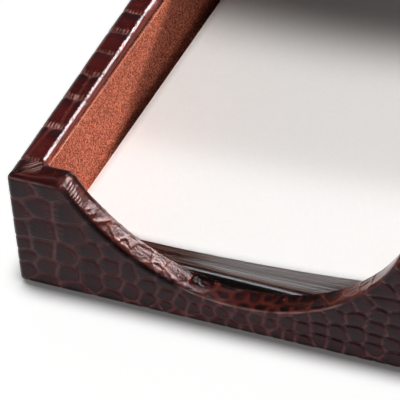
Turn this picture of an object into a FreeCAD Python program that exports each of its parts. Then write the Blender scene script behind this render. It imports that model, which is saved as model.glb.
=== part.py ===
import FreeCAD, Part
import math
import os

# Memo sheet holder: an open tray of boards wrapped in embossed leather and lined with suede. Its front
# wall has a wide finger scoop, and a loose stack of memo sheets lies in the well.
# Millimetres and degrees. The origin is the middle of the footprint on the desk, +Z is up, +X is to the
# right and the scooped wall faces -Y.

# Memo sheets and the room around them
sheet_width = 101.6
sheet_length = 152.4
sheet_thickness = 0.15
side_clearance = 2.0
end_clearance = 2.0
backing_card_thickness = 1.0
backing_card_shift = -0.6
sheaf_thickness = 1.1
sheaf_shift = 0.3
sheaf_shift_shares = (0.6, -0.8, 0.3, -0.5, 0.1)
curl_rise = 7.0
curl_start_share = 0.13
loose_sheet_gap = 0.3
stack_shift = 0.3
stack_turn = -1.0

# Skins and boards
tray_height = 36.6
leather_thickness = 0.9
suede_thickness = 0.7
felt_thickness = 0.8
wall_board_thickness = 6.0
base_board_thickness = 5.0

# Finger scoop in the front wall: the level rim left at each end, and its lip's least height over the floor
level_rim_length = 16.3
lip_height = 2.4
shoulder_radius = 2.6

# Rounded edges of the leather, over the chamfered edges of the boards
face_edge_radius = 1.5
side_edge_radius = 1.9
inner_edge_radius = 1.5
board_chamfer = 0.6

# Leather turned in over the rim, and the strip of it left bare above the suede
turn_in_depth = 10.0
rim_reveal = 1.3
scoop_reveal = 1.9
mitre_slit_width = 0.3

# Felt pad under the tray
felt_margin = 2.6
felt_corner_radius = 3.0

# Square brads that pin the boards together
brad_width = 1.0
brad_head_width = 1.4
brad_head_height = 0.6
brad_point_length = 1.5
brad_length = 16.0
brad_clearance = 0.05
corner_brad_height_shares = (0.3, 0.75)
end_brad_shares = (-0.7, 0.7)
side_brad_shares = (-0.75, 0.0, 0.75)

# Half widths and half depths, from the well outwards
half_well_x = sheet_width / 2 + side_clearance
half_well_y = sheet_length / 2 + end_clearance
half_rim_x = half_well_x + suede_thickness
half_rim_y = half_well_y + suede_thickness
half_bore_x = half_rim_x + leather_thickness
half_bore_y = half_rim_y + leather_thickness
half_board_x = half_bore_x + wall_board_thickness
half_board_y = half_bore_y + wall_board_thickness
half_out_x = half_board_x + leather_thickness
half_out_y = half_board_y + leather_thickness

# Heights, from the desk upwards
board_bottom = felt_thickness + leather_thickness
base_top = board_bottom + base_board_thickness
floor_top = base_top + suede_thickness
board_top = tray_height - leather_thickness
turn_in_bottom = tray_height - turn_in_depth
suede_top = tray_height - rim_reveal
lip_low = floor_top + lip_height
scoop_depth = tray_height - lip_low
half_scoop = half_out_x - level_rim_length
scoop_radius = (half_scoop ** 2 + scoop_depth ** 2) / (2 * scoop_depth)
scoop_centre_height = lip_low + scoop_radius
sheaves_bottom = floor_top + backing_card_thickness
sheaf_count = len(sheaf_shift_shares)
sheaves_top = sheaves_bottom + sheaf_count * sheaf_thickness

ORIGIN = FreeCAD.Vector(0, 0, 0)
X_AXIS = FreeCAD.Vector(1, 0, 0)
Y_AXIS = FreeCAD.Vector(0, 1, 0)
Z_AXIS = FreeCAD.Vector(0, 0, 1)
HALF_TURN = 180
same_place = 1e-5


def block(x_low, x_high, y_low, y_high, z_low, z_high):
    """A plain block between two corners."""
    corner = FreeCAD.Vector(x_low, y_low, z_low)
    return Part.makeBox(x_high - x_low, y_high - y_low, z_high - z_low, corner)


def turned(shape):
    """The same shape on the opposite side of the tray."""
    copy = shape.copy()
    copy.rotate(ORIGIN, Z_AXIS, HALF_TURN)
    return copy


def arc(centre_x, centre_z, radius, start, end):
    """An arc of an upright outline, between two angles in degrees."""
    angles = [math.radians(angle) for angle in (start, (start + end) / 2, end)]
    ends = [FreeCAD.Vector(centre_x + radius * math.cos(a), 0, centre_z + radius * math.sin(a)) for a in angles]
    return Part.Arc(*ends).toShape()


def rounded_face(arcs):
    """The upright face inside arcs that follow each other, with straight edges where they don't meet."""
    edges = []
    for this, following in zip(arcs, arcs[1:] + arcs[:1]):
        edges.append(this)
        end = this.valueAt(this.LastParameter)
        start = following.valueAt(following.FirstParameter)
        if not end.isEqual(start, same_place):
            edges.append(Part.makeLine(end, start))
    return Part.Face(Part.Wire(edges))


def wall_face(inset, scooped):
    """Outline of the front or back wall, drawn in from the leather's outer surface by an inset.

    The scoop is one arc, with a small convex shoulder arc tangent to it and to the level rim on each side.
    """
    radius = side_edge_radius - inset
    side = half_out_x - inset - radius
    low = felt_thickness + inset + radius
    high = tray_height - inset - radius
    arcs = [arc(side, low, radius, -90, 0), arc(side, high, radius, 0, 90)]
    if scooped:
        shoulder_z = tray_height - shoulder_radius
        rise = scoop_centre_height - shoulder_z
        shoulder_x = math.sqrt((scoop_radius + shoulder_radius) ** 2 - rise ** 2)
        lean = math.degrees(math.atan2(rise, shoulder_x))
        shoulder = shoulder_radius - inset
        arcs.append(arc(shoulder_x, shoulder_z, shoulder, 90, HALF_TURN - lean))
        arcs.append(arc(0, scoop_centre_height, scoop_radius + inset, -lean, lean - HALF_TURN))
        arcs.append(arc(-shoulder_x, shoulder_z, shoulder, lean, 90))
    arcs += [arc(-side, high, radius, 90, 180), arc(-side, low, radius, 180, 270)]
    return rounded_face(arcs)


def edges_at_depth(shape, depth):
    """Edges that lie in one plane across the tray."""
    return [e for e in shape.Edges if max(abs(v.Y - depth) for v in e.Vertexes) < same_place
            and abs(e.CenterOfMass.y - depth) < same_place]


def eased(wall, edges, inset, radius):
    """A wall with some edges eased: leather is rounded over them, and a board inside it is chamfered."""
    if inset:
        return wall.makeChamfer(board_chamfer, edges)
    return wall.makeFillet(radius, edges)


def end_wall(inset, scooped):
    """The front wall as a solid, with its outer face's edges and its inner rim edge eased.

    The rim is eased inside only between the side walls, whose own rims run on from its two ends.
    """
    outside = inset - half_out_y
    inside = -half_rim_y - inset
    inner = half_rim_x + inset
    low = felt_thickness + inset
    face = wall_face(inset, scooped)
    face.translate(FreeCAD.Vector(0, outside, 0))
    prism = face.extrude(FreeCAD.Vector(0, inside - outside, 0))
    between = block(-inner, inner, outside, inside, low, tray_height - inset)
    middle = prism.common(between)
    rim_edges = [e for e in edges_at_depth(middle, inside)
                 if abs(e.CenterOfMass.x) < inner - same_place and e.CenterOfMass.z > low + same_place]
    middle = eased(middle, rim_edges, inset, inner_edge_radius)
    whole = middle.fuse(prism.cut(between)).removeSplitter()
    return eased(whole, edges_at_depth(whole, outside), inset, face_edge_radius).Solids[0]


def right_wall(inset):
    """The right wall as a solid between the front and back walls, with its long edges eased."""
    inside = half_rim_x + inset
    outside = half_out_x - inset
    depth = half_rim_y + inset
    low = felt_thickness + inset
    high = tray_height - inset
    wall = block(inside, outside, -depth, depth, low, high)
    along = [e for e in wall.Edges if abs(e.CenterOfMass.y) < same_place]
    outer_edges = [e for e in along if e.CenterOfMass.x > outside - same_place]
    wall = wall.makeFillet(side_edge_radius - inset, outer_edges)
    along = [e for e in wall.Edges if abs(e.CenterOfMass.y) < same_place]
    rim_edge = [e for e in along if abs(e.CenterOfMass.x - inside) < same_place
                and e.CenterOfMass.z > high - same_place]
    return eased(wall, rim_edge, inset, inner_edge_radius).Solids[0]


def scoop_clearance(drop, y_low, y_high):
    """The space over a line that runs below the scoop's lip by a drop."""
    start = FreeCAD.Vector(0, y_low, scoop_centre_height)
    return Part.makeCylinder(scoop_radius + drop, y_high - y_low, start, Y_AXIS)


def base_board():
    return block(-half_bore_x, half_bore_x, -half_bore_y, half_bore_y, board_bottom, base_top)


def front_infill():
    """Card that levels the inner face below the turned-in leather, in the two corners beside the scoop."""
    sheet = block(-half_bore_x, half_bore_x, -half_bore_y, -half_rim_y, base_top, turn_in_bottom)
    return sheet.cut(scoop_clearance(turn_in_depth, -half_bore_y, -half_rim_y))


def back_infill():
    return block(-half_bore_x, half_bore_x, half_rim_y, half_bore_y, base_top, turn_in_bottom)


def right_infill():
    return block(half_rim_x, half_bore_x, -half_rim_y, half_rim_y, base_top, turn_in_bottom)


def mitre_slits():
    """The cuts across the rim's two front corners, where the folded leather of front and side meet."""
    length = math.hypot(half_board_x - half_rim_x, half_board_y - half_rim_y)
    angle = math.degrees(math.atan2(half_board_y - half_rim_y, half_board_x - half_rim_x))
    slits = []
    for side in (-1, 1):
        slit = block(0, length, -mitre_slit_width / 2, mitre_slit_width / 2, board_top, tray_height)
        slit.rotate(ORIGIN, Z_AXIS, angle if side < 0 else HALF_TURN - angle)
        slit.translate(FreeCAD.Vector(side * half_board_x, -half_board_y, 0))
        slits.append(slit)
    return slits


def end_cover(scooped, infill, boards):
    """Leather of the front wall: over the face, round both corners, over the rim and turned in below."""
    return end_wall(0, scooped).cut([infill] + boards + mitre_slits())


def right_cover(boards):
    """Leather of the right wall, a folded strip between the front and the back cover."""
    return right_wall(0).cut([right_infill()] + boards)


def front_lining():
    sheet = block(-half_rim_x, half_rim_x, -half_rim_y, -half_well_y, floor_top, suede_top)
    return sheet.cut(scoop_clearance(scoop_reveal, -half_rim_y, -half_well_y))


def back_lining():
    return block(-half_rim_x, half_rim_x, half_well_y, half_rim_y, floor_top, suede_top)


def right_lining():
    return block(half_well_x, half_rim_x, -half_well_y, half_well_y, floor_top, suede_top)


def floor_lining():
    return block(-half_rim_x, half_rim_x, -half_rim_y, half_rim_y, base_top, floor_top)


def base_infill():
    """Card that levels the underside inside the leather's turned-in margin."""
    return block(-half_rim_x, half_rim_x, -half_rim_y, half_rim_y, felt_thickness, board_bottom)


def felt_pad():
    side = half_out_x - felt_margin
    end = half_out_y - felt_margin
    pad = block(-side, side, -end, end, 0, felt_thickness)
    corners = [e for e in pad.Edges if abs(e.CenterOfMass.z - felt_thickness / 2) < same_place]
    return pad.makeFillet(felt_corner_radius, corners)


def brad(head, direction, room=0):
    """A square nail with a small head and a chisel point, driven along a direction, or the hole for it."""
    half = brad_width / 2 + room
    half_head = brad_head_width / 2 + room
    neck = brad_head_height + room
    taper = brad_length - brad_point_length
    side = [(half_head, 0), (half_head, neck), (half, neck), (half, taper)]
    outline = side + [(0, brad_length + room)] + [(-x, depth) for x, depth in reversed(side)]
    corners = [FreeCAD.Vector(x, -half, depth) for x, depth in outline]
    solid = Part.Face(Part.makePolygon(corners + corners[:1])).extrude(Y_AXIS * (2 * half))
    solid.Placement = FreeCAD.Placement(head, FreeCAD.Rotation(Z_AXIS, direction))
    return solid


def corner_brad_places():
    """Heads in the front and back boards, over the ends of the side boards."""
    x = (half_bore_x + half_board_x) / 2
    heights = [board_bottom + share * (board_top - board_bottom) for share in corner_brad_height_shares]
    return [(FreeCAD.Vector(side * x, -end * half_board_y, z), Y_AXIS * end)
            for end in (-1, 1) for side in (-1, 1) for z in heights]


def base_brad_places():
    """Heads in all four walls, level with the middle of the base board's edge."""
    z = (board_bottom + base_top) / 2
    ends = [(FreeCAD.Vector(share * half_bore_x, -end * half_board_y, z), Y_AXIS * end)
            for end in (-1, 1) for share in end_brad_shares]
    sides = [(FreeCAD.Vector(-side * half_board_x, share * half_bore_y, z), X_AXIS * side)
             for side in (-1, 1) for share in side_brad_shares]
    return ends + sides


def curl(height, rise):
    """A sheet's line across the stack: level from the left, then curling up to the right edge by a rise."""
    left = FreeCAD.Vector(-sheet_width / 2, 0, height)
    start = FreeCAD.Vector(sheet_width * (curl_start_share - 1 / 2), 0, height)
    run = sheet_width * (1 - curl_start_share)
    if rise == 0:
        return [Part.makeLine(left, start + X_AXIS * run)]
    radius = (run ** 2 + rise ** 2) / (2 * rise)
    sweep = math.degrees(math.asin(run / radius))
    return [Part.makeLine(left, start), arc(start.x, height + radius, radius, -90, sweep - 90)]


def sheaf(low, high, low_rise, high_rise, shift):
    """Sheets that lie together, between two curled lines, at their place in the turned stack."""
    half = sheet_width / 2
    left = Part.makeLine(FreeCAD.Vector(-half, 0, low), FreeCAD.Vector(-half, 0, high))
    right = Part.makeLine(FreeCAD.Vector(half, 0, low + low_rise), FreeCAD.Vector(half, 0, high + high_rise))
    edges = Part.__sortEdges__(curl(low, low_rise) + curl(high, high_rise) + [left, right])
    solid = Part.Face(Part.Wire(edges)).extrude(Y_AXIS * sheet_length)
    solid.translate(Y_AXIS * (shift - sheet_length / 2))
    solid.rotate(ORIGIN, Z_AXIS, stack_turn)
    solid.translate(X_AXIS * stack_shift)
    return solid


def memo_sheets():
    """The stack as sheaves, each curled a little more than the one under it."""
    sheaves = []
    for place, share in enumerate(sheaf_shift_shares):
        low = sheaves_bottom + place * sheaf_thickness
        rises = [curl_rise * step / sheaf_count for step in (place, place + 1)]
        sheaves.append(sheaf(low, low + sheaf_thickness, *rises, share * sheaf_shift))
    return Part.makeCompound(sheaves)


def top_sheet():
    low = sheaves_top + loose_sheet_gap
    return sheaf(low, low + sheet_thickness, curl_rise, curl_rise, 0)


def backing_card():
    return sheaf(floor_top, sheaves_bottom, 0, 0, backing_card_shift)


def holed(board, places):
    """A board with the holes of its brads."""
    return board.cut([brad(*place, room=brad_clearance) for place in places])


front_core = end_wall(leather_thickness, True)
back_core = turned(end_wall(leather_thickness, False))
right_core = right_wall(leather_thickness)
left_core = turned(right_core)
base_core = base_board()
cores = [front_core, back_core, right_core, left_core, base_core]
turned_cores = [turned(core) for core in cores]
brad_places = corner_brad_places() + base_brad_places()

nodes = {
    "base_board": holed(base_core, brad_places),
    "front_board": holed(front_core, brad_places),
    "back_board": holed(back_core, brad_places),
    "left_board": holed(left_core, brad_places),
    "right_board": holed(right_core, brad_places),
    "corner_brads": Part.makeCompound([brad(*place) for place in corner_brad_places()]),
    "base_brads": Part.makeCompound([brad(*place) for place in base_brad_places()]),
    "front_cover": end_cover(True, front_infill(), cores),
    "back_cover": turned(end_cover(False, turned(back_infill()), turned_cores)),
    "right_cover": right_cover(cores),
    "left_cover": turned(right_cover(turned_cores)),
    "front_infill": front_infill(),
    "back_infill": back_infill(),
    "right_infill": right_infill(),
    "left_infill": turned(right_infill()),
    "base_infill": base_infill(),
    "front_lining": front_lining(),
    "back_lining": back_lining(),
    "right_lining": right_lining(),
    "left_lining": turned(right_lining()),
    "floor_lining": floor_lining(),
    "felt_pad": felt_pad(),
    "backing_card": backing_card(),
    "memo_sheets": memo_sheets(),
    "top_sheet": top_sheet(),
}

os.makedirs("parts", exist_ok=True)
for name, shape in nodes.items():
    shape.exportStep("parts/" + name + ".step")
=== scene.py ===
import math

import bpy
import numpy as np
from mathutils import Matrix, Vector


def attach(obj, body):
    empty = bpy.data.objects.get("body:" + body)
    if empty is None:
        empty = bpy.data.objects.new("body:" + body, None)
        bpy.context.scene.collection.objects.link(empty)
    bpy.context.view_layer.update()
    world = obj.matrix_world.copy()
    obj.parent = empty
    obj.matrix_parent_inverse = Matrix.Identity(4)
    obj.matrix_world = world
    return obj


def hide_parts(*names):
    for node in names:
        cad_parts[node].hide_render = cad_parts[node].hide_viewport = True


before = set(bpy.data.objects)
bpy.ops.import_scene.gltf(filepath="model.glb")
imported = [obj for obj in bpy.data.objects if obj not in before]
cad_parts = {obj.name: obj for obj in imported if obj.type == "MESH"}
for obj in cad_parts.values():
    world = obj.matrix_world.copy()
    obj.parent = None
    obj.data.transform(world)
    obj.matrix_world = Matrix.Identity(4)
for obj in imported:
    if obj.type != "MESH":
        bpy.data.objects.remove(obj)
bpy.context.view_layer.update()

# Wall and base boards: fibreboard, sawn to size, chamfered and glued into a tray.
# The leather hides them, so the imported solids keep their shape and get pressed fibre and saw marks.
fibre_brown = (0.36, 0.23, 0.13, 1)
fibre_dark = (0.24, 0.14, 0.075, 1)
fibre_light = (0.50, 0.35, 0.21, 1)


def node(tree, kind, inputs=(), **settings):
    """One shader node with its settings, and each input set to a value or joined to another output."""
    made = tree.nodes.new("ShaderNode" + kind)
    for name, value in settings.items():
        setattr(made, name, value)
    for name, value in dict(inputs).items():
        if isinstance(value, bpy.types.NodeSocket):
            tree.links.new(value, made.inputs[name])
        else:
            made.inputs[name].default_value = value
    return made


def ramp(tree, factor, stops):
    """A colour that runs through stops, each a place from 0 to 1 and a colour."""
    made = node(tree, "ValToRGB", {"Fac": factor})
    elements = made.color_ramp.elements
    while len(elements) < len(stops):
        elements.new(0.5)
    for element, (place, colour) in zip(elements, stops):
        element.position = place
        element.color = colour
    return made.outputs["Color"]


def reckon(tree, operation, *values, **settings):
    """The outcome of one sum on up to three numbers or outputs."""
    return node(tree, "Math", dict(enumerate(values)), operation=operation, **settings).outputs[0]


def grain(tree, scale, detail=3, stretch=(1, 1, 1)):
    """Noise on the piece's own coordinates, with a scale in waves per metre and a stretch along each axis."""
    place = node(tree, "TexCoord").outputs["Object"]
    place = node(tree, "Mapping", {"Vector": place, "Scale": stretch}).outputs["Vector"]
    return node(tree, "TexNoise", {"Vector": place, "Scale": scale, "Detail": detail}).outputs["Fac"]


def finish(name, roughness, **sockets):
    """A new material with its shader's plain values set, returned with its node tree and shader."""
    made = bpy.data.materials.new(name)
    made.use_nodes = True
    shader = made.node_tree.nodes["Principled BSDF"]
    shader.inputs["Roughness"].default_value = roughness
    for socket, value in sockets.items():
        shader.inputs[socket.replace("_", " ")].default_value = value
    return made, made.node_tree, shader


def tint(tree, shader, colour):
    """Joins a colour to the shader."""
    tree.links.new(colour, shader.inputs["Base Color"])


def roughen(tree, shader, height, strength, distance):
    """Joins a height to the shader as a bump of a given depth in metres."""
    bump = node(tree, "Bump", {"Height": height, "Strength": strength, "Distance": distance})
    tree.links.new(bump.outputs["Normal"], shader.inputs["Normal"])


def dress(material, *names):
    """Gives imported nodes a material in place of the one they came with."""
    for name in names:
        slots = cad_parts[name].data.materials
        slots.clear()
        slots.append(material)


fibreboard, tree, shader = finish("pressed_fibreboard", 0.85)
fibres = grain(tree, 900, 6, (1, 1, 0.35))
clumps = grain(tree, 160, 2)
blend = reckon(tree, "MULTIPLY", fibres, clumps)
tint(tree, shader, ramp(tree, blend, [(0.12, fibre_dark), (0.27, fibre_brown), (0.45, fibre_light)]))
roughen(tree, shader, fibres, 0.5, 0.0002)
dress(fibreboard, "base_board", "front_board", "back_board", "left_board", "right_board")

# Brads: square steel nails with small heads, driven through the walls into the base and the side boards.
# Wire drawing leaves fine lines along them, and they are slightly grey from storage.
wire_bright = (0.58, 0.57, 0.55, 1)
wire_dull = (0.36, 0.35, 0.34, 1)
brad_steel, tree, shader = finish("drawn_brad_steel", 0.35, Metallic=1.0)
lines = grain(tree, 2500, 3, (1, 0.06, 1))
tint(tree, shader, ramp(tree, lines, [(0.35, wire_dull), (0.65, wire_bright)]))
roughen(tree, shader, lines, 0.3, 0.00005)
dress(brad_steel, "corner_brads", "base_brads")

# Infill cards: grey-brown pasteboard glued on to level the boards beside the turned-in leather.
# Pressed waste paper, with flecks and a faint machine direction.
card_grey = (0.47, 0.42, 0.35, 1)
card_pale = (0.60, 0.55, 0.47, 1)
card_fleck = (0.25, 0.21, 0.17, 1)
pasteboard, tree, shader = finish("infill_pasteboard", 0.9)
flecks = grain(tree, 1400, 5, (1, 0.4, 1))
tint(tree, shader, ramp(tree, flecks, [(0.28, card_fleck), (0.42, card_grey), (0.7, card_pale)]))
roughen(tree, shader, flecks, 0.3, 0.0001)
dress(pasteboard, "front_infill", "back_infill", "left_infill", "right_infill", "base_infill")

# Side wall leather: calf embossed with crocodile scales, 0.9 mm thick, glued over the outer face and the rim
# and turned in above the suede. It is cut square at both ends, where it butts against the end covers.
# Its sizes, like those of the suede and the paper, are in millimetres, and strip() turns them to metres.
mm = 0.001
skin = 0.9
wall = 7.8
tray_bottom = 0.8
tray_top = 36.6
half_out = np.array([61.3, 86.7])
half_rim = half_out - wall
side_round = 1.9
inner_round = 1.5
grid_step = 0.29
side_turn_in = 3.0
round_rows = 8
groove_flat = 0.14
groove_side = 0.45
groove_depth = 0.33
dome_reach = 2.4
dome_depth = 0.06
tick_pitch = 0.88
tick_depth = 0.09
butt_depth = 0.3
butt_reach = 0.7
unevenness = 0.03
rim_line = 35.8
row_height = 7.4
pressed_middle = 0.44
pressed_half = 0.26
face_row = 45


def smooth(x):
    """Runs from 0 to 1 with level ends as x does."""
    x = np.clip(x, 0, 1)
    return x * x * (3 - 2 * x)


def hashed(column, row, salt):
    """A number from 0 to 1 for each cell of a lattice: what is left of a large sine after the point."""
    wave = np.sin(column * 127.1 + row * 311.7 + salt * 74.7) * 43758.5453
    return wave - np.floor(wave)


def ripple(across, along, size, salt):
    """Soft lumps from -1 to 1: hashed heights on a square lattice, blended smoothly between its points."""
    u, v = across / size, along / size
    i, j = np.floor(u), np.floor(v)
    fu, fv = smooth(u - i), smooth(v - j)
    low = hashed(i, j, salt) * (1 - fu) + hashed(i + 1, j, salt) * fu
    high = hashed(i, j + 1, salt) * (1 - fu) + hashed(i + 1, j + 1, salt) * fu
    return 2 * (low * (1 - fv) + high * fv) - 1


def scale_field(p, q, centres, flatness):
    """Crocodile scales on unrolled leather, as cells round given centres, each a place and a length.

    Each point belongs to the nearest centre, measured with lengths along the row shortened by flatness, which
    keeps row lines level. The distance to a groove is that to the line halfway to a neighbouring centre, soft at
    corners. Returned are that distance, a hashed tone for each scale, the place along it from -1 to 1, its
    length, and the height above its centre.
    """
    sharpness, neighbours, batch, far = 3.0, 8, 6000, 99.0
    centres = np.asarray(centres)
    points = np.stack([(p + 0 * q).ravel(), q.ravel(), (flatness + 0 * q).ravel()], 1)
    found = []
    for part in np.array_split(points, len(points) // batch + 1):
        along, up = (centres[None, :, axis] - part[:, axis, None] for axis in (0, 1))
        reach = (part[:, 2:] * along) ** 2 + up ** 2
        near = np.argpartition(reach, neighbours, 1)[:, :neighbours]
        along, up, reach = (np.take_along_axis(values, near, 1) for values in (along, up, reach))
        own = reach.argmin(1)[:, None]
        own_along, own_up, own_reach = (np.take_along_axis(values, own, 1) for values in (along, up, reach))
        index = np.take_along_axis(near, own, 1)[:, 0]
        apart_along, apart_up = part[:, 2:] * (along - own_along), up - own_up
        edge = (reach - own_reach) / (2 * np.hypot(part[:, 2:] * apart_along, apart_up) + 1e-9)
        np.put_along_axis(edge, own, far, 1)
        edge = -np.log(np.exp(-sharpness * edge).sum(1)) / sharpness
        length = centres[index, 2]
        end = np.clip(-2 * own_along[:, 0] / length, -1, 1)
        found.append(np.stack([np.maximum(edge, 0), hashed(index, 7, 3), end, length, -own_up[:, 0]]))
    return np.concatenate(found, 1).reshape(5, *q.shape)


def scale_relief(edge, tick):
    """Depth below the leather's surface: a flat-bottomed groove with steep sides between scales, a slight dome
    on each scale, and short ticks pressed into the ends of the long ones."""
    groove = -groove_depth * (1 - smooth((edge - groove_flat) / groove_side))
    dome = -dome_depth * (1 - smooth(edge / dome_reach))
    return groove + dome - tick_depth * tick


def groove_colour(edge):
    """How much of a groove's own colour shows: all of it along the groove's line, and none on the scales."""
    return 1 - smooth((edge - 0.1) / 0.55)


def tick_comb(end, length, cross, start, salt):
    """Ticks along a scale near its ends, from 0 to 1: narrow lines at an even pitch across it, fading inwards."""
    turns = cross / tick_pitch + 0.2 * ripple(cross, length, 3, salt)
    line = smooth((np.cos(2 * np.pi * turns) - 0.1) / 0.7)
    return line * smooth((np.abs(end) - start) / 0.25) * smooth((length - 5.0) / 3.0)


def edge_ease(height, over, high_end, radius):
    """How much of the embossing is left near the wall's rounded edges, where the leather is stretched flat."""
    from_top = np.where(over > 0, over, height - high_end) - np.pi / 4 * radius
    near_top = 1 - smooth((np.abs(from_top) - 0.9) / 1.6)
    near_low = 1 - smooth((height - tray_bottom - 1.2) / 1.8)
    return 1 - 0.7 * np.maximum(near_top, near_low)


def wrap(face, out, lean, top, run, low_round, face_rows, top_round, rim_rows, rim_end, inner, turn_in, along):
    """Leather wrapped round the edge of a wall, as a closed section carried along the wall's columns.

    Each section runs inwards under the wall, round its low edge, up the face, round the top edge, over the rim,
    round the inner edge and down, then back along the leather's glued side. At a scoop the top edge's outline
    leans, so every step over the edge follows the outline's own normal. Returned with the sections are the
    unrolled leather's coordinates, the way over the edge and the depth from the face, for the outer rows.
    """
    def rows(count, first=0.0):
        return np.linspace(first, 1, count)[None]

    column = (lambda v: np.asarray(v, float)[:, None])
    top_round, low_round, inner = column(top_round), column(low_round), column(inner)
    rim_end, turn_in, run = column(rim_end), column(turn_in), column(run)
    lean_along, lean_up, top = column(lean[0]), column(lean[1]), column(top)
    zero = np.zeros_like(top)
    quarter = np.pi / 2 * rows(round_rows + 1)[:, 1:]
    low_end = tray_bottom + low_round
    high_end = top - top_round * lean_up
    under = run + (low_round - run) * rows(4)
    low_arc = quarter[:, ::-1] - quarter[:, :1]
    climb = rows(face_rows)
    rim_run = top_round + (rim_end - top_round) * rows(rim_rows + 1)[:, 1:]
    fall = turn_in * rows(5)[:, 1:]
    over_top = top_round * quarter
    over_rim = top_round * np.pi / 2 + rim_run - top_round
    over_inner = over_rim[:, -1:] + inner * quarter
    over_fall = over_inner[:, -1:] + fall
    depth = [under, low_round * (1 - np.cos(low_arc)), zero + 0 * climb, top_round * (1 - np.cos(quarter)),
             rim_run, rim_end + inner * np.sin(quarter), rim_end + inner + 0 * fall]
    inset = [zero + top_round + 0 * under, zero + top_round + 0 * low_arc, zero + top_round + 0 * climb,
             top_round * (1 - np.sin(quarter)), zero + 0 * rim_run, inner * (1 - np.cos(quarter)), inner + fall]
    over = [zero + 0 * under, zero + 0 * low_arc, zero + 0 * climb, over_top, over_rim, over_inner, over_fall]
    height = [tray_bottom + 0 * under, tray_bottom + low_round * (1 - np.sin(low_arc)),
              low_end + (high_end - low_end) * climb]
    height += [top - part * lean_up for part in inset[3:]]
    depth, inset, over, height = (np.concatenate(parts, 1) for parts in (depth, inset, over, height))
    shift = (top_round - inset) * lean_along
    outer = np.dstack([face[:, :1] + shift * along[:, :1] - depth * out[:, :1],
                       face[:, 1:] + shift * along[:, 1:] - depth * out[:, 1:], height])
    glued_depth = np.hstack([rim_end + inner - skin, np.maximum(rim_end + inner - skin, skin), zero + skin,
                             zero + skin, run])
    glued_inset = np.hstack([inner + turn_in, zero + skin, np.maximum(top_round, skin), top_round, top_round])
    glued_height = np.hstack([top - glued_inset[:, :3] * lean_up, zero + tray_bottom + 2 * skin,
                              zero + tray_bottom + skin])
    glued_shift = (top_round - glued_inset) * lean_along
    glued = np.dstack([face[:, :1] + glued_shift * along[:, :1] - glued_depth * out[:, :1],
                       face[:, 1:] + glued_shift * along[:, 1:] - glued_depth * out[:, 1:], glued_height])
    leather_up = np.where(over > 0, high_end + over * lean_up, height)
    return outer, glued, over * lean_along, leather_up, over, depth


def outward(surface):
    """Unit normals of a grid of points: the cross product of its two directions, or up where that shrinks away."""
    least = 1e-7
    normal = np.cross(np.gradient(surface, axis=0), np.gradient(surface, axis=1))
    size = np.linalg.norm(normal, axis=2, keepdims=True)
    return np.where(size > least, normal / np.maximum(size, least), (0.0, 0.0, 1.0))


def embossed(outer, relief, axis):
    """The surface moved out along its normals by a relief. They are turned so that those in the middle of the
    face point down the given axis."""
    normal = outward(outer)
    return outer + normal * relief[..., None] * np.sign(-normal[len(outer) // 2, face_row, axis])


def with_glued_side(outer, glued, fields):
    """Whole sections, outer rows and then glued ones, and their fields, which keep the last row's value on the
    glued side."""
    carried = {"scale_" + name: np.hstack([values, np.repeat(values[:, -1:], glued.shape[1], 1)])
               for name, values in fields.items()}
    return np.concatenate([outer, glued], 1), carried


def strip(name, sections, material, attributes=()):
    """A mesh of closed sections carried along a path: quads between sections, one cap at each end.

    sections has one row of points for each section, in millimetres, or a stack of such strips. Faces are turned
    round where the signed volume they enclose is negative, so they always point outwards.
    """
    sections = np.asarray(sections, float)
    if sections.ndim == 3:
        sections = sections[None]
    count, columns, points = sections.shape[:3]
    index = np.arange(count * columns * points).reshape(count, columns, points)
    here, there = index[:, :-1], index[:, 1:]
    quads = np.stack([here, np.roll(here, -1, 2), np.roll(there, -1, 2), there], -1).reshape(-1, 4)
    caps = np.concatenate([index[:, 0, ::-1], index[:, -1]])
    vertices = sections.reshape(-1, 3) * mm
    a, b, c, d = (vertices[quads[:, k]] for k in range(4))
    volume = (np.cross(a, b) * c).sum() + (np.cross(a, c) * d).sum()
    if volume < 0:
        quads, caps = quads[:, ::-1], caps[:, ::-1]
    mesh = bpy.data.meshes.new(name)
    mesh.vertices.add(len(vertices))
    mesh.vertices.foreach_set("co", vertices.astype(np.float32).ravel())
    loops = np.concatenate([quads.ravel(), caps.ravel()]).astype(np.int32)
    sizes = np.concatenate([np.full(len(quads), 4), np.full(len(caps), points)])
    rounded = np.concatenate([np.ones(len(quads)), np.zeros(len(caps))])
    mesh.loops.add(len(loops))
    mesh.loops.foreach_set("vertex_index", loops)
    mesh.polygons.add(len(sizes))
    mesh.polygons.foreach_set("loop_start", np.concatenate([[0], np.cumsum(sizes)[:-1]]).astype(np.int32))
    mesh.polygons.foreach_set("use_smooth", rounded.astype(bool))
    mesh.update(calc_edges=True)
    mesh.validate()
    for key, values in dict(attributes).items():
        attribute = mesh.attributes.new(key, "FLOAT", "POINT")
        attribute.data.foreach_set("value", values.astype(np.float32).ravel())
    mesh.materials.append(material)
    piece = bpy.data.objects.new(name, mesh)
    bpy.context.scene.collection.objects.link(piece)
    return piece


def span(tree, value, low, high, first, last, **settings):
    """A value that goes from first to last while the given one goes from low to high."""
    return node(tree, "MapRange", {"Value": value, "From Min": low, "From Max": high, "To Min": first,
                                   "To Max": last}, **settings).outputs["Result"]


def from_mesh(tree, name):
    """A value that the piece's mesh carries at each of its points."""
    return node(tree, "Attribute", attribute_name=name).outputs["Fac"]


def mix(tree, share, first, second):
    """A colour that goes from the first to the second as the share goes from 0 to 1."""
    return node(tree, "Mix", {0: share, 6: first, 7: second}, data_type="RGBA").outputs[2]


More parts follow.
